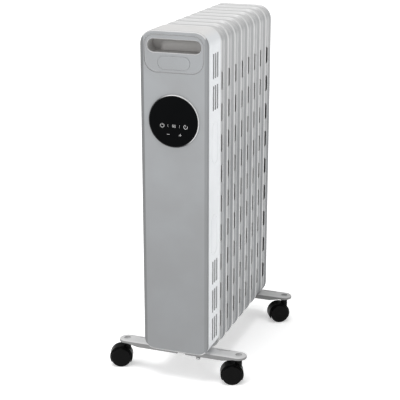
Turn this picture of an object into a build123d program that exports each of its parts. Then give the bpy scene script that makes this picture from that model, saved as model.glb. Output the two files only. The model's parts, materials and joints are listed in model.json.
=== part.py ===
"""Oil filled radiator heater: eight pressed oil sections behind a vented control housing, on casters.

Millimetres, +Z up. The model is laid out with the housing's parting line near y = 0 and the
sections running towards +Y, then every piece is moved so that the origin is the middle of the
footprint, on the floor. The control panel faces -Y.
"""
from build123d import *
from math import cos, radians, sin
import os

# ---- driving dimensions ----
BODY_WIDTH = 124.4
TOP_Z = 646.0
HALF = BODY_WIDTH / 2
SHEET = 0.8

# control housing
HOUSING_BOTTOM_Z = 56.0
HOUSING_TOP_RADIUS = 25.0
HOUSING_BOTTOM_RADIUS = 20.0
FACE_Y = -2.0
PARTING_Y = 2.5
COVER_BACK_Y = 61.0
COVER_WALL = 1.6
PANEL_SKIN = 2.5
PANEL_RIM = 3.0
PANEL_EDGE_RADIUS = 4.0
PANEL_BACK_Y = FACE_Y + PANEL_SKIN

# finger pocket and the plate round it
INSERT_HALF = 54.6
INSERT_Z = (574.0, 639.4)
INSERT_TOP_RADIUS = 19.0
INSERT_BOTTOM_RADIUS = 23.0
INSERT_GAP = 0.4
INSERT_FLANGE = 2.5
POCKET_SIZE = (98.4, 22.8)
POCKET_Z = 619.8
POCKET_BACK_Y = 28.0
POCKET_WALL = 1.6
POCKET_LIP_RADIUS = 2.4
BADGE_SIZE = (59.2, 23.6)
BADGE_Z = 591.6
BADGE_RECESS = 0.8

# touch display
DISPLAY_Z = 491.0
GLASS_RADIUS = 44.7
RING_RADIUS = 46.3
RING_FRONT_Y = -4.6
GLASS_FRONT_Y = -5.0
DISPLAY_HOLE_RADIUS = 38.0
BOARD_THICKNESS = 1.6

# vents in the housing's sides: lower ends of the slot groups, and the columns
VENT_SIZE = (4.2, 42.5)
VENT_COLUMNS_Y = (26.0, 36.5, 47.0)
VENT_GROUPS_Z = (79.5, 134.5, 189.5, 508.5, 564.0)
PAD_SIZE = (31.0, 76.0)
PAD_PLACES = ((33.0, 450.0), (30.0, 282.0))
PAD_GROOVE = (1.0, 0.3)

# heat shield and what is fixed to it
SHIELD_Y = (59.4, 60.4)
SHIELD_GAP = 0.6
SHIELD_SCREW_PLACES = ((-50, 150), (50, 150), (-50, 540), (50, 540))
POWER_BOARD = (90.0, 150.0)
POWER_BOARD_Y = 40.0
POWER_BOARD_Z = 455.0
RELAY_SIZE = (20.0, 16.0, 28.0)
RELAY_X = 16.0
RELAY_BOTTOM_Z = 485.0
POLES_X = (-20.0, 0.0, 20.0)
POLE_RADIUS = 4.0
WIRE_RADIUS = 1.1
WIRE_BEND = 2.5
TERMINAL_BLOCK_HALF = 30.0
TERMINAL_BLOCK_Y = (45.0, 59.4)
TERMINAL_BLOCK_Z = (320.0, 340.0)
TIP_SWITCH_PLACE = (-20.0, 45.0, 222.0)
TIP_CASE = (36.0, 28.8, 44.0)
TIP_CASE_WALL = 2.0
TIP_PIN_RADIUS = 1.5
RUNNING_GAP = 0.05

# cord gland in the housing's floor
GLAND_PLACE = (30.0, 51.0)
GLAND_RADIUS = 6.0
CORD_HOLE_RADIUS = 3.8
GLAND_Z = (54.9, 66.0)

# oil sections
FIN_COUNT = 8
FIN_PITCH = 38.0
FIN_START_Y = 62.0
FIN_BOTTOM_Z = 41.0
FIN_CORNER_RADIUS = 27.0
FIN_FRONT = 1.0
FIN_BACK = 37.0
WEB_INSET = 4.7
FLANGE_BEND = 3.0
FLANGE_LIP = 7.0
VALLEY_DEPTH = 2.8
CROWN_DEPTH = 1.6
CROWN_PLACES = (14.0, 22.0, 30.0)
VALLEY_START = 7.5
SLOT_COUNT = 9
SLOT_PITCH = 56.3
SLOT_FIRST_Z = 84.0
SLOT_LENGTH = 33.0
SLOT_PLACE = 14.0
SLOT_WIDTH = 7.0
LAST_SLOT_WIDTH = 13.0
CHAMBER_BACK = 11.0
CHANNEL_PLACES = (-32.0, 0.0, 32.0)
CHANNEL_WIDTH = 18.0
MANIFOLD_HALF = 48.0
MANIFOLD_REACH = 31.0
MANIFOLD_CORNER_RADIUS = 14.0
UPPER_HEADER_Z = 590.0
LOWER_HEADER_Z = 105.0
HEADER_RADIUS = 22.0
FOOT_NOTCH = 1.5
REAR_Y = 366.0
REAR_PANEL_SHEET = 0.5
REAR_PANEL_INSET = 3.5
REAR_PANEL_EDGE_RADIUS = 0.9
REAR_FIELD_INSET = 14.0
REAR_VENT_ROWS_Z = (120.0, 560.0)
REAR_VENT_COUNT = 7
REAR_VENT_PITCH = 12.0
REAR_VENT_SIZE = (40.0, 4.0)
ELEMENT_HALF = 9.0
ELEMENT_TUBE_RADIUS = 4.25
ELEMENT_END_Y = 330.0
HEATER_FLANGE_Y = (FIN_START_Y - 5, FIN_START_Y + FIN_FRONT)
SPADE_SIZE = (6.4, 0.8, 10.0)
SECTION_FITTINGS_Y = 56.0
CUTOUT_PLACE = (32.0, 300.0)
PROBE_PLACE = (-32.0, 540.0)
PROBE_COLLAR_Y = (54.0, 58.0)

# feet
FOOT_LENGTH = 251.0
FOOT_WIDTH = 31.0
FOOT_TOP_Z = 54.5
FOOT_SKIRT_Z = 45.0
FOOT_END_SKIRT_Z = 49.5
FOOT_SHEET = 1.5
FOOT_EDGE_RADIUS = 2.5
FRONT_FOOT_Y = 31.0
REAR_FOOT_Y = 334.0
FOOT_TAPER = (84.0, 104.0)
BEAD_SIZE = (26.0, 4.0)
BEAD_X = 77.0

# what fixes the feet
BRACKET_STUD_PLACES = ((-34.0, 37.0), (2.0, 37.0))
BRACKET_X = (-44.0, 12.0)
BRACKET_SHEET = 1.4
BRACKET_TOP_Z = 76.0
U_BOLT_HALF = 26.0
U_BOLT_Y = 325.5
U_BOLT_WIRE = 3.0
STUD_RADIUS = 2.5
STUD_BOTTOM_Z = 41.0
FOOT_SCREW_PLACE = (35.0, 22.0)
FOOT_SCREW_RADIUS = 2.0
FOOT_SCREW_HEAD_Z = (37.5, 42.0)
HOLE_GAP = 0.2
NOTCH_X = (-3.5, 11.5)
NOTCH_HEIGHT = 2.5

# casters
CASTER_X = 110.5
CASTER_TRAIL = 12.0
WHEEL_RADIUS = 18.75
WHEEL_INNER = 4.9
WHEEL_OUTER = 15.5
WHEEL_RECESS = (14.5, 5.0)
WHEEL_HUB_RADIUS = 5.5
WHEEL_FACE_RADIUS = 2.2
WHEEL_BACK_RADIUS = 0.8
HOOD_OUTER = 21.5
HOOD_INNER = 19.6
HOOD_HALF = 11.0
HOOD_EDGE_RADIUS = 1.8
HOOD_TIP_ANGLE = 30.0
WEB_HALF = 4.2
AXLE_RADIUS = 2.5
AXLE_HALF = 13.0
AXLE_BOSS_RADIUS = 6.5
STEM_RADIUS = 4.0
STEM_TOP_Z = 49.5
STEM_STEP_Z = 38.0
STEM_BOTTOM_Z = 26.0
STEM_BOSS_RADIUS = 6.5
STEM_BOSS_TOP_Z = 45.0
SOCKET_RADIUS = 6.2
SOCKET_FLANGE = 2.5
SOCKET_BOTTOM_Z = 46.0
SOCKET_LIP_DROP = 1.0
SOCKET_WELL = (5.2, 51.6)
# how far each caster is turned about its swivel axis at rest, in degrees, with the trail towards -X at 0
CASTER_TURNS = {"front_left": 19.0, "front_right": 21.0, "rear_left": 19.0, "rear_right": 31.0}

def slab(sketch, low_y, high_y):
    """A drawing of the front view (X to the right, Z up), pushed from low_y to high_y."""
    return extrude(Plane.XZ.offset(-low_y) * sketch, amount=-(high_y - low_y))


def tower(sketch, low_z, high_z):
    """A plan drawing (X, Y), raised from low_z to high_z."""
    return extrude(Pos(0, 0, low_z) * sketch, amount=high_z - low_z)


def rounded_front(half_width, low_z, high_z, top_radius, bottom_radius):
    """A front-view rectangle with one radius for its upper corners and one for its lower ones."""
    outline = Pos(0, (low_z + high_z) / 2) * Rectangle(2 * half_width, high_z - low_z)
    outline = fillet(outline.vertices().group_by(Axis.Y)[-1], top_radius)
    return fillet(outline.vertices().group_by(Axis.Y)[0], bottom_radius)


def housing_outline(inset=0.0):
    return rounded_front(
        HALF - inset,
        HOUSING_BOTTOM_Z + inset,
        TOP_Z - inset,
        HOUSING_TOP_RADIUS - inset,
        HOUSING_BOTTOM_RADIUS - inset,
    )


def disc(x, z, radius, low_y, high_y):
    """A round piece whose axis is along Y."""
    return slab(Pos(x, z) * Circle(radius), low_y, high_y)


def post(x, y, radius, low_z, high_z):
    """A round piece whose axis is along Z."""
    return tower(Pos(x, y) * Circle(radius), low_z, high_z)


def block(x_range, y_range, z_range):
    """A box between the given low and high coordinates."""
    (x0, x1), (y0, y1), (z0, z1) = x_range, y_range, z_range
    return Pos((x0 + x1) / 2, (y0 + y1) / 2, (z0 + z1) / 2) * Box(x1 - x0, y1 - y0, z1 - z0)


def front_edges(shape, y):
    """The edges that lie wholly in the plane at y."""
    return shape.edges().filter_by_position(Axis.Y, y - 0.01, y + 0.01)


# ---- control housing ----
def insert_outline(grow=0.0):
    return rounded_front(
        INSERT_HALF + grow,
        INSERT_Z[0] - grow,
        INSERT_Z[1] + grow,
        INSERT_TOP_RADIUS + grow,
        INSERT_BOTTOM_RADIUS + grow,
    )


def front_panel():
    shell = slab(housing_outline(), FACE_Y, PARTING_Y)
    shell = fillet(front_edges(shell, FACE_Y), PANEL_EDGE_RADIUS)
    shell -= slab(housing_outline(PANEL_RIM), PANEL_BACK_Y, PARTING_Y)
    shell -= slab(insert_outline(), FACE_Y, PANEL_BACK_Y)
    return shell - disc(0, DISPLAY_Z, DISPLAY_HOLE_RADIUS, FACE_Y, PANEL_BACK_Y)


def pocket_outline(grow=0.0):
    width, height = POCKET_SIZE
    return Pos(0, POCKET_Z) * SlotOverall(width + 2 * grow, height + 2 * grow)


def badge_outline(inset=0.0):
    width, height = BADGE_SIZE
    return Pos(0, BADGE_Z) * SlotOverall(width - 2 * inset, height - 2 * inset)


def grip_insert():
    """The plate flush with the fascia, its hidden flange, and the tub behind the finger opening."""
    plate = slab(insert_outline(-INSERT_GAP), FACE_Y, PANEL_BACK_Y)
    plate += slab(insert_outline(INSERT_FLANGE), PANEL_BACK_Y, PANEL_BACK_Y + POCKET_WALL)
    plate += slab(pocket_outline(POCKET_WALL), PANEL_BACK_Y, POCKET_BACK_Y)
    plate -= slab(pocket_outline(), FACE_Y, POCKET_BACK_Y - POCKET_WALL)
    mouth = [e for e in front_edges(plate, FACE_Y) if e.bounding_box().size.X < POCKET_SIZE[0] + 1]
    plate = fillet(mouth, POCKET_LIP_RADIUS)
    return plate - slab(badge_outline(), FACE_Y, FACE_Y + BADGE_RECESS)


def badge_plate():
    plate = slab(badge_outline(INSERT_GAP), FACE_Y - BADGE_RECESS / 2, FACE_Y + BADGE_RECESS)
    return fillet(front_edges(plate, FACE_Y - BADGE_RECESS / 2), BADGE_RECESS / 2)


def display_ring():
    ring = disc(0, DISPLAY_Z, RING_RADIUS, RING_FRONT_Y, FACE_Y)
    ring = fillet(front_edges(ring, RING_FRONT_Y), 1.0)
    return ring - disc(0, DISPLAY_Z, GLASS_RADIUS + 0.1, RING_FRONT_Y, FACE_Y)


def display_glass():
    glass = disc(0, DISPLAY_Z, GLASS_RADIUS, GLASS_FRONT_Y, FACE_Y)
    return fillet(front_edges(glass, GLASS_FRONT_Y), 0.6)


def touch_board():
    board = disc(0, DISPLAY_Z, DISPLAY_HOLE_RADIUS - 1, FACE_Y, FACE_Y + BOARD_THICKNESS)
    chip = block((-12, 12), (FACE_Y + BOARD_THICKNESS, FACE_Y + 4), (DISPLAY_Z - 24, DISPLAY_Z - 8))
    return board + chip


def side_slot(y, z, width, height, depth=BODY_WIDTH * 2):
    """A round-ended upright slot seen from the side, as long along X as depth."""
    drawing = Plane.YZ.offset(-depth / 2) * Pos(y, z) * SlotOverall(height, width, rotation=90)
    return extrude(drawing, amount=depth)


def side_pad_grooves():
    """The two faint long outlines moulded into each side of the cover."""
    width, depth = PAD_GROOVE
    grooves = Part()
    for y, z in PAD_PLACES:
        length, height = PAD_SIZE
        outline = side_slot(y, z, length, height)
        grooves += outline - side_slot(y, z, length - 2 * width, height - 2 * width)
    return grooves - Box(2 * (HALF - depth), 4 * TOP_Z, 4 * TOP_Z)


def cover_shell():
    shell = slab(housing_outline(), PARTING_Y, COVER_BACK_Y)
    shell -= slab(housing_outline(COVER_WALL), PARTING_Y, COVER_BACK_Y)
    width, height = VENT_SIZE
    for low_z in VENT_GROUPS_Z:
        for y in VENT_COLUMNS_Y:
            shell -= side_slot(y, low_z + height / 2, width, height)
    shell -= side_pad_grooves()
    shell -= post(*GLAND_PLACE, GLAND_RADIUS, HOUSING_BOTTOM_Z - 1, HOUSING_BOTTOM_Z + 4)
    screw_hole = FOOT_SCREW_RADIUS + HOLE_GAP
    return shell - post(*FOOT_SCREW_PLACE, screw_hole, HOUSING_BOTTOM_Z - 1, HOUSING_BOTTOM_Z + 4)


def cord_gland():
    """A bush through the housing's floor, with a flange on each side of the floor."""
    low, high = GLAND_Z
    gland = post(*GLAND_PLACE, GLAND_RADIUS, low, high)
    gland += post(*GLAND_PLACE, GLAND_RADIUS + 1.6, low, HOUSING_BOTTOM_Z)
    nut_low = HOUSING_BOTTOM_Z + COVER_WALL
    gland += tower(Pos(*GLAND_PLACE) * RegularPolygon(GLAND_RADIUS + 2, 6), nut_low, nut_low + 4)
    return gland - post(*GLAND_PLACE, CORD_HOLE_RADIUS, low, high)


def heat_shield():
    plate = slab(housing_outline(COVER_WALL + SHIELD_GAP), *SHIELD_Y)
    holes = [
        (0, LOWER_HEADER_Z, HEADER_RADIUS + 7),
        (0, UPPER_HEADER_Z, 16),
        (CUTOUT_PLACE[0], CUTOUT_PLACE[1], 12),
        (PROBE_PLACE[0], PROBE_PLACE[1], 6),
    ]
    holes += [(x, z, 2.1) for x, z in SHIELD_SCREW_PLACES]
    for x, z, radius in holes:
        plate -= disc(x, z, radius, *SHIELD_Y)
    return plate


def cover_screws():
    """Pan-head screws through the shield."""
    screws = []
    for x, z in SHIELD_SCREW_PLACES:
        head = disc(x, z, 4, SHIELD_Y[1], SHIELD_Y[1] + 2)
        screws.append(head + disc(x, z, 2, SHIELD_Y[0] - 8, SHIELD_Y[1]))
    return screws


def power_board():
    width, height = POWER_BOARD
    x_range = (-width / 2, width / 2)
    z_range = (POWER_BOARD_Z - height / 2, POWER_BOARD_Z + height / 2)
    board = block(x_range, (POWER_BOARD_Y, POWER_BOARD_Y + BOARD_THICKNESS), z_range)
    for x, z in board_corner_places():
        board -= disc(x, z, 1.6, POWER_BOARD_Y, POWER_BOARD_Y + BOARD_THICKNESS)
    return board


def board_corner_places():
    width, height = POWER_BOARD
    return [(i * (width / 2 - 6), POWER_BOARD_Z + k * (height / 2 - 6)) for i in (-1, 1) for k in (-1, 1)]


def board_standoffs():
    """Pillars from the power board to the shield, with a spigot in each of the board's holes."""
    back_of_board = POWER_BOARD_Y + BOARD_THICKNESS
    pillars = []
    for x, z in board_corner_places():
        pillar = disc(x, z, 4, back_of_board, SHIELD_Y[0])
        pillars.append(pillar + disc(x, z, 1.5, POWER_BOARD_Y, back_of_board))
    return pillars


def relays():
    width, depth, height = RELAY_SIZE
    y_range = (POWER_BOARD_Y - depth, POWER_BOARD_Y)
    z_range = (RELAY_BOTTOM_Z, RELAY_BOTTOM_Z + height)
    return [block((x - width / 2, x + width / 2), y_range, z_range) for x in (-RELAY_X, RELAY_X)]


def terminal_block():
    front, back = TERMINAL_BLOCK_Y
    base = block((-TERMINAL_BLOCK_HALF, TERMINAL_BLOCK_HALF), (front, back), TERMINAL_BLOCK_Z)
    for x in POLES_X:
        base -= disc(x, sum(TERMINAL_BLOCK_Z) / 2, POLE_RADIUS, front, front + 8)
    return base


def wiring_loom():
    """Three wires from the top of the terminal block to the face of the power board."""
    route = [(50, TERMINAL_BLOCK_Z[1]), (50, 358), (34, 366), (34, 392), (POWER_BOARD_Y, 392)]
    wires = []
    for x in POLES_X:
        points = [(x, y, z) for y, z in route]
        path = FilletPolyline(*points, radius=WIRE_BEND)
        wires.append(sweep(Pos(*points[0]) * Circle(WIRE_RADIUS), path=path))
    return wires


def tip_switch_case():
    """A box open at the bottom, with the pin that the weight hangs from."""
    x, _, top_z = TIP_SWITCH_PLACE
    width, depth, height = TIP_CASE
    wall = TIP_CASE_WALL
    y_range = (SHIELD_Y[0] - depth, SHIELD_Y[0])
    case = block((x - width / 2, x + width / 2), y_range, (top_z - height, top_z))
    case -= block(
        (x - width / 2 + wall, x + width / 2 - wall),
        (y_range[0] + wall, y_range[1] - wall),
        (top_z - height, top_z - wall),
    )
    return case + disc(x, tip_pivot_z(), TIP_PIN_RADIUS, y_range[0], y_range[1])


def tip_pivot_z():
    return TIP_SWITCH_PLACE[2] - 9


def tip_pendulum():
    x, y, _ = TIP_SWITCH_PLACE
    pivot = tip_pivot_z()
    weight = disc(x, pivot - 20, 6, y - 5, y + 5)
    weight += disc(x, pivot, 4, y - 2, y + 2)
    weight += block((x - 2, x + 2), (y - 2, y + 2), (pivot - 20, pivot))
    return weight - disc(x, pivot, TIP_PIN_RADIUS + RUNNING_GAP, y - 2, y + 2)


# ---- oil sections ----
def fin_path():
    """The flange's outer line: up the left side, over the top and down the right side."""
    low = FIN_BOTTOM_Z
    r = FIN_CORNER_RADIUS
    left_low = CenterArc((-HALF + r, low + r), r, 270, -90)
    left = Line((-HALF, low + r), (-HALF, TOP_Z - r))
    left_high = CenterArc((-HALF + r, TOP_Z - r), r, 180, -90)
    top = Line((-HALF + r, TOP_Z), (HALF - r, TOP_Z))
    right_high = CenterArc((HALF - r, TOP_Z - r), r, 90, -90)
    right = Line((HALF, TOP_Z - r), (HALF, low + r))
    right_low = CenterArc((HALF - r, low + r), r, 0, -90)
    return Plane.XZ * Wire([left_low, left, left_high, top, right_high, right, right_low])


def flange_section():
    """The folded sheet in section: a ridge at each bend, and a slotted valley with a low crown between."""
    front, back, bend = FIN_FRONT, FIN_BACK, FLANGE_BEND
    lip, crown = -FLANGE_LIP, -CROWN_DEPTH
    crown_start, crown_top, crown_end = CROWN_PLACES

    def side(t):
        """One face of the sheet, t below its outer face."""
        floor = -VALLEY_DEPTH - t
        return [
            Line((front + t, lip), (front + t, -bend)),
            CenterArc((front + bend, -bend), bend - t, 180, -90),
            Line((front + bend, -t), (VALLEY_START, floor)),
            Line((VALLEY_START, floor), (crown_start, floor)),
            ThreePointArc((crown_start, floor), (crown_top, crown - t), (crown_end, floor)),
            Line((crown_end, floor), (back - bend, -t)),
            CenterArc((back - bend, -bend), bend - t, 90, -90),
            Line((back - t, -bend), (back - t, lip)),
        ]

    ends = [
        Line((front, lip), (front + SHEET, lip)),
        Line((back - SHEET, lip), (back, lip)),
    ]
    return make_face(side(0) + side(SHEET) + ends)


def fin_flange(slot_width):
    path = fin_path()
    start = Plane(origin=path @ 0, x_dir=(0, 1, 0), z_dir=path % 0)
    flange = sweep(start * flange_section(), path=path)
    for k in range(SLOT_COUNT):
        middle_z = SLOT_FIRST_Z + k * SLOT_PITCH + SLOT_LENGTH / 2
        flange -= side_slot(SLOT_PLACE, middle_z, slot_width, SLOT_LENGTH)
    return flange


def chamber_outline(inset=0.0):
    """The pressed oil space seen from the front: two manifolds joined by upright channels."""
    outline = Sketch()
    for header_z in (LOWER_HEADER_Z, UPPER_HEADER_Z):
        size = (2 * (MANIFOLD_HALF - inset), 2 * (MANIFOLD_REACH - inset))
        outline += Pos(0, header_z) * RectangleRounded(*size, MANIFOLD_CORNER_RADIUS)
    height = UPPER_HEADER_Z - LOWER_HEADER_Z
    for x in CHANNEL_PLACES:
        middle = Pos(x, (UPPER_HEADER_Z + LOWER_HEADER_Z) / 2)
        outline += middle * Rectangle(CHANNEL_WIDTH - 2 * inset, height)
    return outline


def web_outline():
    radius = FIN_CORNER_RADIUS - WEB_INSET
    return rounded_front(HALF - WEB_INSET, FIN_BOTTOM_Z + WEB_INSET, TOP_Z - WEB_INSET, radius, radius)


def fin(slot_width, hub_back):
    """One oil section, laid out from its own front line at y = 0."""
    web_back = FIN_FRONT + SHEET
    section = fin_flange(slot_width)
    section += slab(web_outline(), FIN_FRONT, web_back)
    section += slab(chamber_outline(), web_back, CHAMBER_BACK)
    section -= slab(chamber_outline(SHEET), web_back, CHAMBER_BACK - SHEET)
    for z in (LOWER_HEADER_Z, UPPER_HEADER_Z):
        section += disc(0, z, HEADER_RADIUS, CHAMBER_BACK - SHEET, hub_back)
        section -= disc(0, z, HEADER_RADIUS - SHEET, FIN_FRONT, hub_back)
    return section


def fin_nodes():
    """All the sections. The rear foot nests up into the last two, which are cut away for it."""
    inner = fin(SLOT_WIDTH, FIN_FRONT + FIN_PITCH)
    last = fin(LAST_SLOT_WIDTH, CHAMBER_BACK)
    foot_half = FOOT_WIDTH / 2 + FOOT_NOTCH
    foot_space = block(
        (-HALF, HALF),
        (REAR_FOOT_Y - foot_half, REAR_FOOT_Y + foot_half),
        (FIN_BOTTOM_Z - 1, FOOT_TOP_Z + FOOT_NOTCH),
    )
    nodes = {}
    for k in range(FIN_COUNT):
        section = Pos(0, FIN_START_Y + k * FIN_PITCH, 0) * (last if k == FIN_COUNT - 1 else inner)
        nodes[f"fin_{k + 1}"] = section - foot_space if k >= FIN_COUNT - 2 else section
    return nodes


def end_plate_outline(inset):
    radius = FIN_CORNER_RADIUS - inset
    return rounded_front(HALF - inset, FIN_BOTTOM_Z + inset, TOP_Z - inset, radius, radius)


def rear_panel():
    """The end plate that closes the last section, with a sunk field and two rows of vents."""
    low_y = REAR_Y - 2 * REAR_PANEL_SHEET
    plate = slab(end_plate_outline(REAR_PANEL_INSET), low_y, REAR_Y)
    plate = fillet(front_edges(plate, REAR_Y), REAR_PANEL_EDGE_RADIUS)
    plate -= slab(end_plate_outline(REAR_FIELD_INSET), REAR_Y - REAR_PANEL_SHEET, REAR_Y)
    for z in REAR_VENT_ROWS_Z:
        for k in range(REAR_VENT_COUNT):
            x = (k - (REAR_VENT_COUNT - 1) / 2) * REAR_VENT_PITCH
            plate -= slab(Pos(x, z) * SlotOverall(*REAR_VENT_SIZE, rotation=90), low_y, REAR_Y)
    return plate


def heating_element():
    """Two U-shaped tubes, one above the other, that lie along the lower header."""
    tubes = []
    for z in (LOWER_HEADER_Z - ELEMENT_HALF, LOWER_HEADER_Z + ELEMENT_HALF):
        start = (-ELEMENT_HALF, HEATER_FLANGE_Y[1], z)
        end = (ELEMENT_HALF, *start[1:])
        points = [start, (-ELEMENT_HALF, ELEMENT_END_Y, z), (ELEMENT_HALF, ELEMENT_END_Y, z), end]
        path = FilletPolyline(*points, radius=ELEMENT_HALF - 0.5)
        tubes.append(sweep(Plane(origin=start, z_dir=(0, 1, 0)) * Circle(ELEMENT_TUBE_RADIUS), path=path))
    return tubes


def heater_flange():
    """The plug that carries the element, with a wrench hexagon and the four tube holes' bosses."""
    front, back = HEATER_FLANGE_Y
    flange = disc(0, LOWER_HEADER_Z, HEADER_RADIUS + 5, back - 3, back)
    return flange + slab(Pos(0, LOWER_HEADER_Z) * RegularPolygon(HEADER_RADIUS, 6), front, back - 3)


def element_terminals():
    """Four spade tabs on the flange, in line with the tubes' legs."""
    front = HEATER_FLANGE_Y[0]
    sides = (-ELEMENT_HALF, ELEMENT_HALF)
    width, thickness, length = SPADE_SIZE
    return [
        block(
            (x - width / 2, x + width / 2),
            (front - length, front),
            (LOWER_HEADER_Z + dz - thickness / 2, LOWER_HEADER_Z + dz + thickness / 2),
        )
        for x in sides
        for dz in sides
    ]


def filler_plug():
    back = FIN_START_Y + FIN_FRONT
    head = slab(Pos(0, UPPER_HEADER_Z) * RegularPolygon(12, 6), SECTION_FITTINGS_Y, back)
    return head + disc(0, UPPER_HEADER_Z, HEADER_RADIUS - SHEET, back, FIN_START_Y + 7)


def header_caps():
    """Discs welded over the two header openings of the last section."""
    low_y = FIN_START_Y + (FIN_COUNT - 1) * FIN_PITCH + CHAMBER_BACK
    return [disc(0, z, HEADER_RADIUS + 2, low_y, low_y + 1.5) for z in (LOWER_HEADER_Z, UPPER_HEADER_Z)]


def thermal_cutout():
    """A button thermostat against the first section's web, with two spade tabs."""
    x, z = CUTOUT_PLACE
    width, thickness, length = SPADE_SIZE
    front = SECTION_FITTINGS_Y
    body = disc(x, z, 9, front, FIN_START_Y + FIN_FRONT)
    for tab_x in (x - 5, x + 5):
        x_range = (tab_x - thickness / 2, tab_x + thickness / 2)
        body += block(x_range, (front - length, front), (z - width / 2, z + width / 2))
    return body


def sensor_probe():
    x, z = PROBE_PLACE
    low, high = PROBE_COLLAR_Y
    return disc(x, z, 2.5, low - 14, FIN_START_Y + FIN_FRONT) + disc(x, z, 4, low, high)


# ---- feet ----
def foot(centre_y):
    """A pressed channel: flat top with rounded ends, and a skirt that is deepest in the middle."""
    middle = Pos(0, centre_y)
    bar = tower(middle * SlotOverall(FOOT_LENGTH, FOOT_WIDTH), FOOT_SKIRT_Z, FOOT_TOP_Z)
    bar = fillet(bar.edges().group_by(Axis.Z)[-1], FOOT_EDGE_RADIUS)
    inner = middle * SlotOverall(FOOT_LENGTH - 2 * FOOT_SHEET, FOOT_WIDTH - 2 * FOOT_SHEET)
    bar -= tower(inner, FOOT_SKIRT_Z, FOOT_TOP_Z - FOOT_SHEET)
    start, end = FOOT_TAPER
    low, high, far = FOOT_SKIRT_Z - 1, FOOT_END_SKIRT_Z, FOOT_LENGTH
    for side in (-1, 1):
        corners = [(side * start, FOOT_SKIRT_Z), (side * end, high), (side * far, high), (side * far, low)]
        wedge = make_face(Polyline(*corners, (side * start, low), close=True))
        bar -= slab(wedge, centre_y - FOOT_WIDTH, centre_y + FOOT_WIDTH)
        bar -= post(side * CASTER_X, centre_y, SOCKET_RADIUS + RUNNING_GAP, FOOT_SKIRT_Z, FOOT_TOP_Z)
        bead = Pos(side * BEAD_X, centre_y + FOOT_WIDTH / 2 - 5) * SlotOverall(*BEAD_SIZE)
        bar += tower(bead, FOOT_TOP_Z, FOOT_TOP_Z + 0.6)
    return bar


def front_foot():
    bar = foot(FRONT_FOOT_Y)
    front_half = (FRONT_FOOT_Y - FOOT_WIDTH, FRONT_FOOT_Y)
    bar -= block(NOTCH_X, front_half, (FOOT_SKIRT_Z, FOOT_SKIRT_Z + NOTCH_HEIGHT))
    for x, y in BRACKET_STUD_PLACES:
        bar -= post(x, y, STUD_RADIUS + HOLE_GAP, FOOT_SKIRT_Z, FOOT_TOP_Z)
    return bar - post(*FOOT_SCREW_PLACE, FOOT_SCREW_RADIUS + HOLE_GAP, FOOT_SKIRT_Z, FOOT_TOP_Z)


def rear_foot():
    bar = foot(REAR_FOOT_Y)
    for x in (-U_BOLT_HALF, U_BOLT_HALF):
        bar -= post(x, U_BOLT_Y, U_BOLT_WIRE + HOLE_GAP, FOOT_SKIRT_Z, FOOT_TOP_Z)
    return bar


def front_foot_bracket():
    """An angle whose upright leg is welded to the first section, with two studs for the foot."""
    upright_y = (SHIELD_Y[1] + 1.1, FIN_START_Y + FIN_FRONT)
    bracket = block(BRACKET_X, (22, upright_y[1]), (FOOT_TOP_Z, FOOT_TOP_Z + BRACKET_SHEET))
    bracket += block(BRACKET_X, upright_y, (FOOT_TOP_Z, BRACKET_TOP_Z))
    for x, y in BRACKET_STUD_PLACES:
        bracket += post(x, y, STUD_RADIUS, STUD_BOTTOM_Z, FOOT_TOP_Z)
    return bracket


def rear_u_bolt():
    """A bent rod over the lower header, with its legs down through the rear foot."""
    bend_z = LOWER_HEADER_Z
    start = (-U_BOLT_HALF, U_BOLT_Y, STUD_BOTTOM_Z)
    left = Line(start, (-U_BOLT_HALF, U_BOLT_Y, bend_z))
    over = ThreePointArc(left @ 1, (0, U_BOLT_Y, bend_z + U_BOLT_HALF), (U_BOLT_HALF, U_BOLT_Y, bend_z))
    right = Line(over @ 1, (U_BOLT_HALF, U_BOLT_Y, STUD_BOTTOM_Z))
    return sweep(Pos(*start) * Circle(U_BOLT_WIRE), path=Wire([left, over, right]))


def wing_nut(x, y, bore_radius):
    top_z = FOOT_TOP_Z - FOOT_SHEET
    nut = post(x, y, bore_radius + 2, top_z - 5, top_z)
    nut += block((x - 11, x + 11), (y - 1, y + 1), (top_z - 8, top_z - 1))
    return nut - post(x, y, bore_radius, top_z - 9, top_z)


def wing_nuts():
    nuts = [wing_nut(x, y, STUD_RADIUS) for x, y in BRACKET_STUD_PLACES]
    return nuts + [wing_nut(x, U_BOLT_Y, U_BOLT_WIRE) for x in (-U_BOLT_HALF, U_BOLT_HALF)]


def foot_screw():
    """The long screw from under the front foot into the housing's floor."""
    low, high = FOOT_SCREW_HEAD_Z
    head = post(*FOOT_SCREW_PLACE, 2 * FOOT_SCREW_RADIUS, low, high)
    head = fillet(head.edges().group_by(Axis.Z)[0], 1.2)
    return head + post(*FOOT_SCREW_PLACE, FOOT_SCREW_RADIUS, high, HOUSING_BOTTOM_Z + 8)


def caster_places():
    """Caster name to the place of its swivel axis."""
    places = {}
    for end, y in (("front", FRONT_FOOT_Y), ("rear", REAR_FOOT_Y)):
        for side, x in (("left", -CASTER_X), ("right", CASTER_X)):
            places[f"{end}_{side}"] = (x, y)
    return places


def caster_sockets():
    """Plastic bushes pressed up into the feet, closed below a shallow well."""
    flange_top = FOOT_TOP_Z - FOOT_SHEET
    well_radius, well_z = SOCKET_WELL
    sockets = []
    for x, y in caster_places().values():
        bush = post(x, y, SOCKET_RADIUS, SOCKET_BOTTOM_Z, FOOT_TOP_Z - SOCKET_LIP_DROP)
        bush += post(x, y, SOCKET_RADIUS + SOCKET_FLANGE, flange_top - SOCKET_FLANGE, flange_top)
        bush -= post(x, y, well_radius, well_z, FOOT_TOP_Z)
        sockets.append(bush - post(x, y, STEM_RADIUS + RUNNING_GAP, SOCKET_BOTTOM_Z, STEM_TOP_Z + 0.5))
    return sockets


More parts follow.
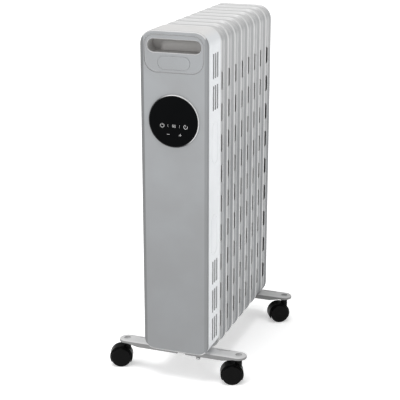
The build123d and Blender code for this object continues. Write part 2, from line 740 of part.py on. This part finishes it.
# ---- casters, laid out round the swivel axis with the wheels trailing towards -X ----
def hood_reach(turn):
    """How far a turned hood reaches from its swivel axis towards -X."""
    straight, aside = cos(radians(turn)), sin(radians(turn))
    length, width = HOOD_OUTER - HOOD_EDGE_RADIUS, HOOD_HALF - HOOD_EDGE_RADIUS
    return (CASTER_TRAIL + length) * straight + width * aside + HOOD_EDGE_RADIUS


def below_hood():
    """The space under the hood's two tips, as a front-view drawing round the axle."""
    reach = 3 * HOOD_OUTER
    drop, run = reach * sin(radians(HOOD_TIP_ANGLE)), reach * cos(radians(HOOD_TIP_ANGLE))
    corners = [(0, 0), (run, -drop), (run, -reach), (-run, -reach), (-run, -drop)]
    return make_face(Polyline(*corners, close=True))


def caster_hood():
    """A fender round the wheels, the web between them, the axle boss and the stem boss."""
    axle = Pos(-CASTER_TRAIL, 0, WHEEL_RADIUS)
    fender = disc(0, 0, HOOD_OUTER, -HOOD_HALF, HOOD_HALF)
    hood = axle * fillet(fender.edges().filter_by(GeomType.CIRCLE), HOOD_EDGE_RADIUS)
    hood += post(0, 0, STEM_BOSS_RADIUS, STEM_BOTTOM_Z, STEM_BOSS_TOP_Z)
    hood -= axle * disc(0, 0, HOOD_INNER, -HOOD_HALF, HOOD_HALF)
    hood += axle * disc(0, 0, HOOD_INNER + 0.5, -WEB_HALF, WEB_HALF)
    hood -= axle * slab(below_hood(), -HOOD_HALF, HOOD_HALF)
    hood += axle * disc(0, 0, AXLE_BOSS_RADIUS, -WEB_HALF, WEB_HALF)
    hood -= axle * disc(0, 0, AXLE_RADIUS, -WEB_HALF, WEB_HALF)
    return hood - stem_shape(STEM_BOSS_TOP_Z)


def stem_shape(top_z):
    stem = post(0, 0, STEM_RADIUS - 1, STEM_BOTTOM_Z, STEM_STEP_Z)
    return stem + post(0, 0, STEM_RADIUS, STEM_STEP_Z, top_z)


def caster_stem():
    """A stepped steel pin, pressed into the hood and free to turn in the foot's socket."""
    stem = stem_shape(STEM_TOP_Z)
    return chamfer(stem.edges().group_by(Axis.Z)[-1], 0.6)


def caster_axle():
    return disc(-CASTER_TRAIL, WHEEL_RADIUS, AXLE_RADIUS, -AXLE_HALF, AXLE_HALF)


def caster_wheel(side):
    """One wheel. side is -1 for the wheel towards -Y and +1 for the other."""

    def along(radius, start, end):
        """A disc on the axle between two distances from the caster's middle, on this wheel's side."""
        return disc(0, 0, radius, min(side * start, side * end), max(side * start, side * end))

    recess_radius, recess_depth = WHEEL_RECESS
    wheel = along(WHEEL_RADIUS, WHEEL_INNER, WHEEL_OUTER)
    wheel = fillet(front_edges(wheel, side * WHEEL_OUTER), WHEEL_FACE_RADIUS)
    wheel = fillet(front_edges(wheel, side * WHEEL_INNER), WHEEL_BACK_RADIUS)
    wheel -= along(recess_radius, WHEEL_INNER, WHEEL_INNER + recess_depth)
    wheel += along(WHEEL_HUB_RADIUS, WHEEL_INNER, WHEEL_OUTER - 2)
    wheel -= along(AXLE_RADIUS + RUNNING_GAP, WHEEL_INNER, AXLE_HALF + 0.2)
    return Pos(-CASTER_TRAIL, 0, WHEEL_RADIUS) * wheel


def caster_nodes():
    pieces = {
        "hood": caster_hood(),
        "stem": caster_stem(),
        "axle": caster_axle(),
        "wheel_a": caster_wheel(-1),
        "wheel_b": caster_wheel(1),
    }
    nodes = {}
    for caster, (x, y) in caster_places().items():
        for piece, shape in pieces.items():
            nodes[f"{caster}_{piece}"] = Pos(x, y, 0) * Rot(0, 0, CASTER_TURNS[caster]) * shape
    return nodes


def all_nodes():
    nodes = {
        "front_panel": front_panel(),
        "grip_insert": grip_insert(),
        "badge_plate": badge_plate(),
        "display_ring": display_ring(),
        "display_glass": display_glass(),
        "touch_board": touch_board(),
        "cover_shell": cover_shell(),
        "cord_gland": cord_gland(),
        "heat_shield": heat_shield(),
        "cover_screws": cover_screws(),
        "power_board": power_board(),
        "board_standoffs": board_standoffs(),
        "relays": relays(),
        "terminal_block": terminal_block(),
        "wiring_loom": wiring_loom(),
        "tip_switch_case": tip_switch_case(),
        "tip_pendulum": tip_pendulum(),
        "rear_panel": rear_panel(),
        "heating_element": heating_element(),
        "heater_flange": heater_flange(),
        "element_terminals": element_terminals(),
        "filler_plug": filler_plug(),
        "header_caps": header_caps(),
        "thermal_cutout": thermal_cutout(),
        "sensor_probe": sensor_probe(),
        "front_foot": front_foot(),
        "rear_foot": rear_foot(),
        "front_foot_bracket": front_foot_bracket(),
        "rear_u_bolt": rear_u_bolt(),
        "wing_nuts": wing_nuts(),
        "foot_screw": foot_screw(),
        "caster_sockets": caster_sockets(),
    }
    nodes.update(fin_nodes())
    nodes.update(caster_nodes())
    return nodes


def footprint_offset():
    """The move that puts the footprint's middle at the origin.

    The footprint runs from the left hoods to the right ends of the feet, and from the glass to
    the end plate.
    """
    left = -CASTER_X - max(hood_reach(CASTER_TURNS[name]) for name in ("front_left", "rear_left"))
    right = FOOT_LENGTH / 2
    return Pos(-(left + right) / 2, -(GLASS_FRONT_Y + REAR_Y) / 2, 0)


def main():
    os.makedirs("parts", exist_ok=True)
    offset = footprint_offset()
    for name, shape in all_nodes().items():
        solids = shape if isinstance(shape, list) else [shape]
        placed = [offset * piece for piece in solids]
        export_step(placed[0] if len(placed) == 1 else Compound(children=placed), f"parts/{name}.step")


main()
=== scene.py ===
"""Looks of the oil filled radiator heater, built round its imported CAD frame. Metres, +Z up."""
import json
import math

import bmesh
import bpy
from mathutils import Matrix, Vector


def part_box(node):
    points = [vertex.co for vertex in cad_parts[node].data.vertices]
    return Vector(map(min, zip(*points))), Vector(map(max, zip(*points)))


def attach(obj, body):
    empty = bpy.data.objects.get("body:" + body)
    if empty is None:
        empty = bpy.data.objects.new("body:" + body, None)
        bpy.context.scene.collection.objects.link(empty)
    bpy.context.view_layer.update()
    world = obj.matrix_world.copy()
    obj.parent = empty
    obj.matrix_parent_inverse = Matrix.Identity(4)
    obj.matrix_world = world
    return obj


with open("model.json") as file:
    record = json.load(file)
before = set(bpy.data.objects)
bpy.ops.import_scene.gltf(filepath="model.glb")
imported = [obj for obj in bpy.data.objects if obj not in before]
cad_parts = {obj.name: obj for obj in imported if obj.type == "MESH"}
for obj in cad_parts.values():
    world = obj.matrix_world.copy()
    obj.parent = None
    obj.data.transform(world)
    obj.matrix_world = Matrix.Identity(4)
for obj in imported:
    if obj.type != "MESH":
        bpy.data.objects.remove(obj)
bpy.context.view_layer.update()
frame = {"nodes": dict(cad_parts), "record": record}
MM = 0.001

# ---- places taken from the frame ----
panel_low, panel_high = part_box("front_panel")
glass_low, glass_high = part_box("display_glass")
ring_low, ring_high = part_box("display_ring")
first_fin_low, first_fin_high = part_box("fin_1")
second_fin_low, second_fin_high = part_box("fin_2")

BODY_X = (panel_low.x + panel_high.x) / 2
BODY_HALF = (panel_high.x - panel_low.x) / 2
BODY_TOP = panel_high.z
FACE_Y = panel_low.y
DISPLAY_X = (glass_low.x + glass_high.x) / 2
DISPLAY_Z = (glass_low.z + glass_high.z) / 2
RING_RADIUS = (ring_high.x - ring_low.x) / 2
FIN_PITCH = second_fin_low.y - first_fin_low.y

# ---- the CAD's own sizes that the paint follows ----
VENT_COLUMNS = (26.0 * MM, 36.5 * MM, 47.0 * MM)
VENT_ROWS = (100.75 * MM, 155.75 * MM, 210.75 * MM, 529.75 * MM, 585.25 * MM)
VENT_HALF = 2.5 * MM
VENT_REACH = 21.4 * MM
SLOT_BAND = (6 * MM, 21 * MM)
SLOT_EDGE = 0.5 * MM
RIDGE_BAND = (0.6 * MM, 3.2 * MM)
RIDGE_EDGE = 1.4 * MM
CROWN_BAND = (19 * MM, 23 * MM)
CROWN_EDGE = 5 * MM
SHEET_DEPTH = 3.4 * MM
SHEET_EDGE = 0.3 * MM
FIN_CORNER = 30 * MM
CORNER_EDGE = 4 * MM
LAST_FIN = 7
PANEL_GAP = (0.7 * MM, 4 * MM)
PANEL_GAP_EDGE = 0.2 * MM
POCKET_SHADE = (4 * MM, 10 * MM)
POCKET_LEFT_END = (-40 * MM, -18 * MM)
PANEL_EDGE = (7.2 * MM, 6.2 * MM)
PANEL_FACE = (6 * MM, 5 * MM)
RING_RIM = (1.6 * MM, 1.1 * MM)

# ---- camera ----
CAMERA_FROM_PANEL = (0.6760, -1.7226)
CAMERA_HEIGHT = 0.9372
CAMERA_YAW = 20.05
CAMERA_PITCH = -17.63
CAMERA_LENS = 99.6
SENSOR = 36.0


def make_camera():
    """The photograph's viewpoint, given from the middle of the front panel's face."""
    data = bpy.data.cameras.new("camera")
    data.lens = CAMERA_LENS
    data.sensor_width = SENSOR
    camera = bpy.data.objects.new("camera", data)
    camera.location = (BODY_X + CAMERA_FROM_PANEL[0], FACE_Y + CAMERA_FROM_PANEL[1], CAMERA_HEIGHT)
    camera.rotation_euler = (math.radians(90 + CAMERA_PITCH), 0, math.radians(CAMERA_YAW))
    bpy.context.scene.collection.objects.link(camera)
    bpy.context.scene.camera = camera


# ---- node material helpers ----
def grey(level, cool=0.0):
    """A scene-linear grey, tipped towards blue by cool."""
    return (level - cool, level, level + cool, 1.0)


class Recipe:
    """A material being built: its nodes, its links and its Principled shader."""

    def __init__(self, name, roughness, metallic=0.0, specular=0.5):
        self.material = bpy.data.materials.new(name)
        self.material.use_nodes = True
        self.nodes = self.material.node_tree.nodes
        self.links = self.material.node_tree.links
        self.shader = self.nodes["Principled BSDF"]
        self.shader.inputs["Metallic"].default_value = metallic
        self.shader.inputs["Roughness"].default_value = roughness
        self.shader.inputs["Specular IOR Level"].default_value = specular
        coordinates = self.nodes.new("ShaderNodeTexCoord").outputs
        self.place = coordinates["Object"]
        self.facing = coordinates["Normal"]
        self.tone = None

    def noise(self, size, detail):
        """Noise whose blobs are about size metres across."""
        noise = self.nodes.new("ShaderNodeTexNoise")
        noise.inputs["Scale"].default_value = 1 / size
        noise.inputs["Detail"].default_value = detail
        self.links.new(self.place, noise.inputs["Vector"])
        return noise.outputs["Fac"]

    def span(self, value, low, high, out_low=0.0, out_high=1.0):
        """value, taken from low..high to out_low..out_high, clamped and eased."""
        node = self.nodes.new("ShaderNodeMapRange")
        node.interpolation_type = "SMOOTHSTEP"
        for name, number in zip(("From Min", "From Max", "To Min", "To Max"), (low, high, out_low, out_high)):
            node.inputs[name].default_value = number
        self.links.new(value, node.inputs["Value"])
        return node.outputs["Result"]

    def math(self, operation, first, second=0.0):
        """A math node's result; each operand is a number or another node's output."""
        node = self.nodes.new("ShaderNodeMath")
        node.operation = operation
        for socket, value in zip(node.inputs, (first, second)):
            if isinstance(value, (int, float)):
                socket.default_value = value
            else:
                self.links.new(value, socket)
        return node.outputs["Value"]

    def axis(self, letter, normal=False):
        """The X, Y or Z share of the point's place in the row frame, or of its normal."""
        node = self.nodes.new("ShaderNodeSeparateXYZ")
        self.links.new(self.facing if normal else self.place, node.inputs["Vector"])
        return node.outputs[letter]

    def mix(self, share, first, second):
        """A colour between first and second, each a colour or another mix."""
        node = self.nodes.new("ShaderNodeMix")
        node.data_type = "RGBA"
        node.inputs["Factor"].default_value = 0.0
        self.links.new(share, node.inputs["Factor"])
        for name, value in (("A", first), ("B", second)):
            socket = next(s for s in node.inputs if s.name == name and s.type == "RGBA")
            if isinstance(value, tuple):
                socket.default_value = value
            else:
                self.links.new(value, socket)
        return next(s for s in node.outputs if s.type == "RGBA")

    def glow(self, strength):
        self.shader.inputs["Emission Color"].default_value = (1, 1, 1, 1)
        self.shader.inputs["Emission Strength"].default_value = strength

    def paint(self, value):
        self.links.new(value, self.shader.inputs["Base Color"])

    def rough(self, value):
        self.links.new(value, self.shader.inputs["Roughness"])

    def bump(self, height, distance):
        """Relief that is distance metres deep."""
        node = self.nodes.new("ShaderNodeBump")
        node.inputs["Distance"].default_value = distance
        node.inputs["Strength"].default_value = 1.0
        self.links.new(height, node.inputs["Height"])
        self.links.new(node.outputs["Normal"], self.shader.inputs["Normal"])

    def squared(self, value):
        return self.math("MULTIPLY", value, value)

    def from_middle(self):
        """The distance from the body's upright middle plane, along X."""
        return self.math("ABSOLUTE", self.math("SUBTRACT", self.axis("X"), BODY_X))

    def within(self, value, low, high, edge):
        """1 where value lies between low and high, falling to 0 over edge on each side."""
        rise = self.span(value, low - edge, low)
        fall = self.span(value, high, high + edge, 1.0, 0.0)
        return self.math("MULTIPLY", rise, fall)

    def any_within(self, value, places, edge):
        """1 where value is within reach of any middle, for places of (middle, reach)."""
        found = 0.0
        for middle, reach in places:
            found = self.math("MAXIMUM", found, self.within(value, middle - reach, middle + reach, edge))
        return found


def moulded_plastic(name, dark, light, roughness=0.45, grain=0.0006, depth=0.00003, specular=0.5):
    """Plastic with a fine spark-eroded texture and a faint drift in its colour."""
    recipe = Recipe(name, roughness, specular=specular)
    recipe.tone = recipe.mix(recipe.span(recipe.noise(0.09, 3), 0.3, 0.7), dark, light)
    recipe.paint(recipe.tone)
    recipe.rough(recipe.span(recipe.noise(0.02, 4), 0.3, 0.7, roughness - 0.05, roughness + 0.05))
    recipe.bump(recipe.noise(grain, 3), depth)
    return recipe


def panel_face(recipe):
    """The fascia's outer colour, with painted shade deepening lower down and along its rolled sides, most on
    the left.
    """
    # painted shade, darker lower down
    lower = recipe.span(recipe.axis("Z"), 0.05, 0.60, 0.34, 0.0)
    body = recipe.mix(lower, recipe.tone, grey(0.10))
    # painted shade on the rolled sides, stronger on the left
    sides = recipe.span(recipe.from_middle(), BODY_HALF - PANEL_EDGE[0], BODY_HALF - PANEL_EDGE[1])
    strength = recipe.span(recipe.axis("X"), BODY_X - 0.04, BODY_X + 0.04, 1.0, 0.45)
    return recipe.mix(recipe.math("MULTIPLY", sides, strength), body, grey(0.19, 0.004))


def panel_plastic():
    """Satin grey fascia, with painted light on the walls of its parting gaps, a finger pocket painted lighter
    inside and painted shade at the pocket's left end.
    """
    recipe = moulded_plastic("panel_grey", grey(0.328, 0.008), grey(0.355, 0.012), 0.5, specular=0.25)
    face = panel_face(recipe)
    depth = recipe.axis("Y")
    # painted light: the walls of the parting gaps are painted pale
    gap_wall = recipe.within(depth, FACE_Y + PANEL_GAP[0], FACE_Y + PANEL_GAP[1], PANEL_GAP_EDGE)
    face_edge = [BODY_HALF - inset for inset in PANEL_FACE]
    in_face = recipe.span(recipe.from_middle(), *face_edge, 1.0, 0.0)
    face_with_painted_gap_light = recipe.mix(recipe.math("MULTIPLY", gap_wall, in_face), face, grey(0.62))
    # the finger pocket is painted lighter inside, with painted shade towards its left end
    inside = recipe.span(depth, FACE_Y + POCKET_SHADE[0], FACE_Y + POCKET_SHADE[1])
    left_places = [BODY_X + place for place in POCKET_LEFT_END]
    pocket_left_painted_shade = recipe.span(recipe.axis("X"), *left_places, 1.0, 0.0)
    pocket = recipe.mix(pocket_left_painted_shade, grey(0.40, -0.008), grey(0.46, -0.01))
    recipe.paint(recipe.mix(inside, face_with_painted_gap_light, pocket))
    return recipe.material


def cover_plastic():
    """Cool white moulding, with painted light on its upward faces and painted shade in its vents and just
    around them.
    """
    recipe = moulded_plastic("cover_white", grey(0.74, 0.020), grey(0.79, 0.020), 0.42)
    # painted light on upward faces
    upward = recipe.span(recipe.axis("Z", normal=True), 0.5, 1.0)
    skin = recipe.mix(upward, recipe.tone, grey(0.80, -0.008))
    # painted shade in the vents and just around them
    columns = recipe.any_within(recipe.axis("Y"), [(FACE_Y + y, VENT_HALF) for y in VENT_COLUMNS], 0.0002)
    rows = recipe.any_within(recipe.axis("Z"), [(z, VENT_REACH) for z in VENT_ROWS], 0.0004)
    shade = recipe.math("MULTIPLY", columns, rows)
    recipe.paint(recipe.mix(shade, skin, grey(0.05)))
    return recipe.material


def fin_skin(recipe, local):
    """The fin's outer colour, with painted light towards the top and on upward faces, and a painted highlight
    on the ridge and on the crown.
    """
    # painted light towards the top and on upward faces
    height = recipe.span(recipe.axis("Z"), BODY_TOP - 0.30, BODY_TOP - 0.02)
    upward = recipe.span(recipe.axis("Z", normal=True), 0.2, 0.95)
    side = recipe.mix(height, recipe.tone, grey(0.42, 0.006))
    skin = recipe.mix(upward, side, grey(0.62))
    # painted highlights on the ridge and on the crown
    ridge = recipe.within(local, RIDGE_BAND[0], RIDGE_BAND[1], RIDGE_EDGE)
    crown = recipe.within(local, CROWN_BAND[0], CROWN_BAND[1], CROWN_EDGE)
    skin_with_ridge_highlight = recipe.mix(recipe.math("MULTIPLY", ridge, 0.85), skin, grey(0.74))
    return recipe.mix(recipe.math("MULTIPLY", crown, 0.25), skin_with_ridge_highlight, grey(0.60))


def fin_hollow(recipe, local):
    """1 on what lies under the folded sheet and on the far walls of its slots, where the fin's colour is
    painted light and shade.
    """
    straight_low, straight_high = first_fin_low.z + FIN_CORNER, BODY_TOP - FIN_CORNER
    straight = recipe.within(recipe.axis("Z"), straight_low, straight_high, CORNER_EDGE)
    under_skin = recipe.within(recipe.from_middle(), 0.0, BODY_HALF - SHEET_DEPTH, SHEET_EDGE)
    slot_band = recipe.within(local, SLOT_BAND[0], SLOT_BAND[1], SLOT_EDGE)
    frontward = recipe.span(recipe.axis("Y", normal=True), -0.75, -0.55, 1.0, 0.0)
    inside = recipe.math("MULTIPLY", under_skin, straight)
    return recipe.math("MAXIMUM", inside, recipe.math("MULTIPLY", slot_band, frontward))


def fin_enamel():
    """Baked enamel with a faint orange peel; under the sheet and in the slots its colour is painted light and
    shade, palest inside the first fin and darkest inside the last.
    """
    recipe = moulded_plastic("fin_enamel", grey(0.245, 0.008), grey(0.285, 0.010), 0.38, 0.0016, 0.00004)
    along = recipe.math("SUBTRACT", recipe.axis("Y"), first_fin_low.y)
    local = recipe.math("MODULO", along, FIN_PITCH)
    # painted light inside the first fin, painted shade inside the last, and the fins between painted lighter
    # inside than their skin
    first = recipe.span(along, FIN_PITCH - MM, FIN_PITCH, 1.0, 0.0)
    last = recipe.span(along, LAST_FIN * FIN_PITCH - MM, LAST_FIN * FIN_PITCH)
    inner_painted_light_and_shade = recipe.mix(first, recipe.mix(last, grey(0.55), grey(0.03)), grey(0.88))
    recipe.paint(recipe.mix(fin_hollow(recipe, local), fin_skin(recipe, local), inner_painted_light_and_shade))
    return recipe.material


def end_enamel():
    """The same enamel on the flat end plate, which has no ridges."""
    return moulded_plastic("end_enamel", grey(0.36, 0.008), grey(0.40, 0.010), 0.38, 0.0016, 0.00004).material


def foot_enamel():
    """Paler enamel on the feet, with painted shade on their skirts and undersides."""
    recipe = moulded_plastic("foot_enamel", grey(0.60), grey(0.66), 0.38, 0.0016, 0.00004)
    # painted shade on faces that do not look up
    upward = recipe.span(recipe.axis("Z", normal=True), 0.3, 0.9)
    recipe.paint(recipe.mix(upward, grey(0.20), recipe.tone))
    return recipe.material


def glass_black():
    """Black touch glass: a deep gloss with a faint trace of wiping."""
    recipe = Recipe("display_glass", 0.08, specular=0.03)
    recipe.paint(recipe.mix(recipe.noise(0.03, 4), (0.0012, 0.0015, 0.0018, 1), (0.002, 0.0024, 0.0028, 1)))
    recipe.rough(recipe.span(recipe.noise(0.012, 5), 0.35, 0.8, 0.06, 0.14))
    return recipe.material


def ring_metal():
    """Black trim with a painted highlight on its rim towards the upper right."""
    recipe = Recipe("display_rim", 0.35, metallic=0.3)
    # painted highlight colour for the rim
    painted_rim_highlight = recipe.mix(recipe.noise(0.004, 4), grey(0.62), grey(0.72))
    across = recipe.math("SUBTRACT", recipe.axis("X"), DISPLAY_X)
    up = recipe.math("SUBTRACT", recipe.axis("Z"), DISPLAY_Z)
    radius = recipe.math("SQRT", recipe.math("ADD", recipe.squared(across), recipe.squared(up)))
    bezel = recipe.span(radius, RING_RADIUS - RING_RIM[0], RING_RADIUS - RING_RIM[1])
    # the painted highlight lies only on the upper right of the rim
    lit_side = recipe.span(recipe.math("ADD", across, recipe.math("MULTIPLY", up, 0.6)), -0.008, 0.022)
    recipe.paint(recipe.mix(recipe.math("MULTIPLY", bezel, lit_side), grey(0.02), painted_rim_highlight))
    recipe.rough(recipe.span(recipe.noise(0.002, 3), 0.3, 0.7, 0.26, 0.40))
    recipe.bump(recipe.noise(0.0004, 2), 0.00001)
    return recipe.material


def caster_nylon():
    """Black nylon, scuffed a little where it meets the floor."""
    recipe = moulded_plastic("caster_black", grey(0.002), grey(0.003), 0.34, 0.0008, 0.00002, specular=0.07)
    low = recipe.span(recipe.axis("Z"), 0.0, 0.004, 1.0, 0.0)
    scuffed = recipe.math("MULTIPLY", low, recipe.noise(0.003, 4))
    recipe.paint(recipe.mix(scuffed, recipe.tone, grey(0.02)))
    return recipe.material


def circuit_board():
    """Green solder mask with paler copper runs under it."""
    recipe = Recipe("circuit_board", 0.35)
    runs = recipe.span(recipe.noise(0.004, 1), 0.48, 0.52)
    recipe.paint(recipe.mix(runs, (0.006, 0.07, 0.022, 1), (0.013, 0.12, 0.038, 1)))
    recipe.bump(runs, 0.00003)
    return recipe.material


def plated_metal(name, base, roughness):
    """Plated or plain metal with a fine crystalline mottle."""
    recipe = Recipe(name, roughness, metallic=1.0)
    darker = tuple(c * 0.82 for c in base[:3]) + (1.0,)
    recipe.paint(recipe.mix(recipe.noise(0.003, 4), darker, base))
    recipe.rough(recipe.span(recipe.noise(0.002, 3), 0.3, 0.7, roughness - 0.06, roughness + 0.1))
    recipe.bump(recipe.noise(0.0007, 3), 0.00001)
    return recipe.material


def icon_print():
    """Pale print on the glass, slightly uneven in its cover."""
    recipe = Recipe("icon_print", 0.5)
    recipe.paint(recipe.mix(recipe.noise(0.0008, 3), grey(0.55), grey(0.70)))
    recipe.bump(recipe.noise(0.0003, 2), 0.00001)
    return recipe.material


CREAM = ((0.63, 0.60, 0.52, 1), (0.73, 0.70, 0.62, 1))
RED = ((0.19, 0.02, 0.01, 1), (0.26, 0.034, 0.016, 1))


def make_materials():
    """Every material, by the record's slot names, and the end plate's own."""
    return {
        "panel_grey": panel_plastic(),
        "cover_white": cover_plastic(),
        "display_glass": glass_black(),
        "display_rim": ring_metal(),
        "fin_enamel": fin_enamel(),
        "end_enamel": end_enamel(),
        "foot_enamel": foot_enamel(),
        "caster_black": caster_nylon(),
        "socket_grey": moulded_plastic("socket_grey", grey(0.48), grey(0.54)).material,
        "gland_black": moulded_plastic("gland_black", grey(0.008), grey(0.014)).material,
        "inner_plastic": moulded_plastic("inner_plastic", *CREAM).material,
        "wire_insulation": moulded_plastic("wire_insulation", *RED).material,
        "circuit_board": circuit_board(),
        "bare_steel": plated_metal("bare_steel", grey(0.45), 0.34),
        "pin_steel": plated_metal("pin_steel", grey(0.32), 0.28),
        "brass": plated_metal("brass", (0.51, 0.34, 0.11, 1), 0.32),
    }


def dress_frame(materials):
    """Gives every CAD node the material of its slot in the record, and the end plate its own."""
    slots = {row["node"]: row["material_slot"] for row in frame["record"]["subparts"]}
    slots["rear_panel"] = "end_enamel"
    for name, node in frame["nodes"].items():
        node.data.materials.clear()
        node.data.materials.append(materials[slots[name]])


# ---- printed icons on the display ----
ICON_PROUD = 0.01 * MM
ICON_SUNK = 0.2 * MM
ICON_STROKE = 0.65 * MM
ICON_RING_RADIUS = 3.4
ICON_ROW_DROP = -8.0
KEY_ROW_DROP = -23.2
ICON_X = (-20.8, 0.8, 22.2)
BAR_X = (-10.4, 11.2)
BAR_HALF = 2.4
MINUS_X, PLUS_X = -9.8, 12.2
SIGN_HALF = 2.4
WAVE_SHIFTS = (-2.2, 0.0, 2.2)
WAVE_HALF = 2.6
WAVE_STEPS = 24
WAVE_SWAY = 0.6
WAVE_TIGHTNESS = 2.2


def ribbon(bm, points, width):
    """A flat closed strip of the given width along points (X, Z in mm from the display's middle)."""
    line = [Vector((DISPLAY_X + x * MM, DISPLAY_Z + z * MM)) for x, z in points]
    rings = []
    for k, place in enumerate(line):
        ahead = (line[min(k + 1, len(line) - 1)] - line[max(k - 1, 0)]).normalized()
        aside = Vector((-ahead.y, ahead.x)) * width / 2
        corners = []
        for y, edge in ((-ICON_PROUD, aside), (-ICON_PROUD, -aside), (ICON_SUNK, -aside), (ICON_SUNK, aside)):
            flat = place + edge
            corners.append(bm.verts.new((flat.x, glass_low.y + y, flat.y)))
        rings.append(corners)
    for a, b in zip(rings, rings[1:]):
        for k in range(4):
            bm.faces.new((a[k], a[(k + 1) % 4], b[(k + 1) % 4], b[k]))
    bm.faces.new(rings[0][::-1])
    bm.faces.new(rings[-1])


def arc(x, z, radius, start, end, count=40):
    """Points round a circle from start to end degrees, anticlockwise from +X."""
    angles = [math.radians(start + (end - start) * k / count) for k in range(count + 1)]
    return [(x + radius * math.cos(a), z + radius * math.sin(a)) for a in angles]


def power_icon(x, z):
    """A ring open at the top, with a stroke through the gap."""
    return [arc(x, z, ICON_RING_RADIUS, 125, 415), [(x, z + 0.6), (x, z + 4.0)]]


def heat_icon(x, z):
    """Three upright waves side by side."""
    heights = [WAVE_HALF * (2 * k / WAVE_STEPS - 1) for k in range(WAVE_STEPS + 1)]
    waves = []
    for shift in WAVE_SHIFTS:
        waves.append([(x + shift + WAVE_SWAY * math.sin(h * WAVE_TIGHTNESS), z + h) for h in heights])
    return waves


def timer_icon(x, z):
    """A dial with a gap, and its hand at the top."""
    return [arc(x, z, ICON_RING_RADIUS, 80, 385), [(x, z + 2.4), (x, z + 0.2)]]


def level_stroke(x, z, half):
    return [(x - half, z), (x + half, z)]


def upright_stroke(x, z, half):
    return [(x, z - half), (x, z + half)]


def plus_icon(x, z):
    return [level_stroke(x, z, SIGN_HALF), upright_stroke(x, z, SIGN_HALF)]


def make_icon(name, strokes, width, material):
    """One printed piece, as wide as width along each of its strokes, riding on the radiator."""
    bm = bmesh.new()
    for points in strokes:
        ribbon(bm, points, width)
    bmesh.ops.recalc_face_normals(bm, faces=bm.faces)
    data = bpy.data.meshes.new(name)
    bm.to_mesh(data)
    bm.free()
    icon = bpy.data.objects.new(name, data)
    bpy.context.scene.collection.objects.link(icon)
    data.materials.append(material)
    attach(icon, "radiator")


def make_icons():
    material = icon_print()
    row, keys = ICON_ROW_DROP, KEY_ROW_DROP
    make_icon("power_icon", power_icon(ICON_X[0], row), ICON_STROKE, material)
    make_icon("heat_icon", heat_icon(ICON_X[1], row), ICON_STROKE * 0.8, material)
    make_icon("timer_icon", timer_icon(ICON_X[2], row), ICON_STROKE, material)
    for name, x in zip(("left_bar", "right_bar"), BAR_X):
        make_icon(name, [upright_stroke(x, row, BAR_HALF)], ICON_STROKE * 0.5, material)
    make_icon("minus_icon", [level_stroke(MINUS_X, keys, SIGN_HALF)], ICON_STROKE, material)
    make_icon("plus_icon", plus_icon(PLUS_X, keys), ICON_STROKE, material)


# ---- studio ----
FLOOR_REACH = 40.0
FLOOR_GLOW = 0.42
WORLD_STRENGTH = 0.34
# name, travelling towards, softness in degrees, brightness
SUNS = (
    ("top_light", (0.10, 0.10, -1.0), 34, 0.56),
    ("right_light", (-1.0, 0.25, -0.30), 50, 0.16),
    ("left_light", (0.62, 1.0, -0.35), 12, 0.32),
)


def make_floor():
    """A wide white floor that glows a little, so that the shadows stay pale."""
    data = bpy.data.meshes.new("floor")
    corners = [(x * FLOOR_REACH, y * FLOOR_REACH, 0) for x, y in ((-1, -1), (1, -1), (1, 1), (-1, 1))]
    data.from_pydata(corners, [], [(0, 1, 2, 3)])
    floor = bpy.data.objects.new("floor", data)
    bpy.context.scene.collection.objects.link(floor)
    recipe = Recipe("floor_paint", 0.7, specular=0.2)
    recipe.paint(recipe.mix(recipe.noise(0.4, 2), grey(0.92), grey(0.95)))
    recipe.glow(FLOOR_GLOW)
    data.materials.append(recipe.material)


def make_sun(name, toward, softness, brightness):
    """Soft parallel light travelling along toward; brightness is what it adds to a white card."""
    data = bpy.data.lights.new(name, "SUN")
    data.angle = math.radians(softness)
    data.energy = brightness * math.pi
    light = bpy.data.objects.new(name, data)
    light.rotation_euler = Vector(toward).to_track_quat("-Z", "Y").to_euler()
    bpy.context.scene.collection.objects.link(light)


def make_lights():
    bpy.context.scene.view_settings.view_transform = "Standard"
    world = bpy.data.worlds.new("studio")
    bpy.context.scene.world = world
    world.use_nodes = True
    background = world.node_tree.nodes["Background"]
    background.inputs["Color"].default_value = (1, 1, 1, 1)
    background.inputs["Strength"].default_value = WORLD_STRENGTH
    for sun in SUNS:
        make_sun(*sun)


make_camera()
dress_frame(make_materials())
make_icons()
make_floor()
make_lights()
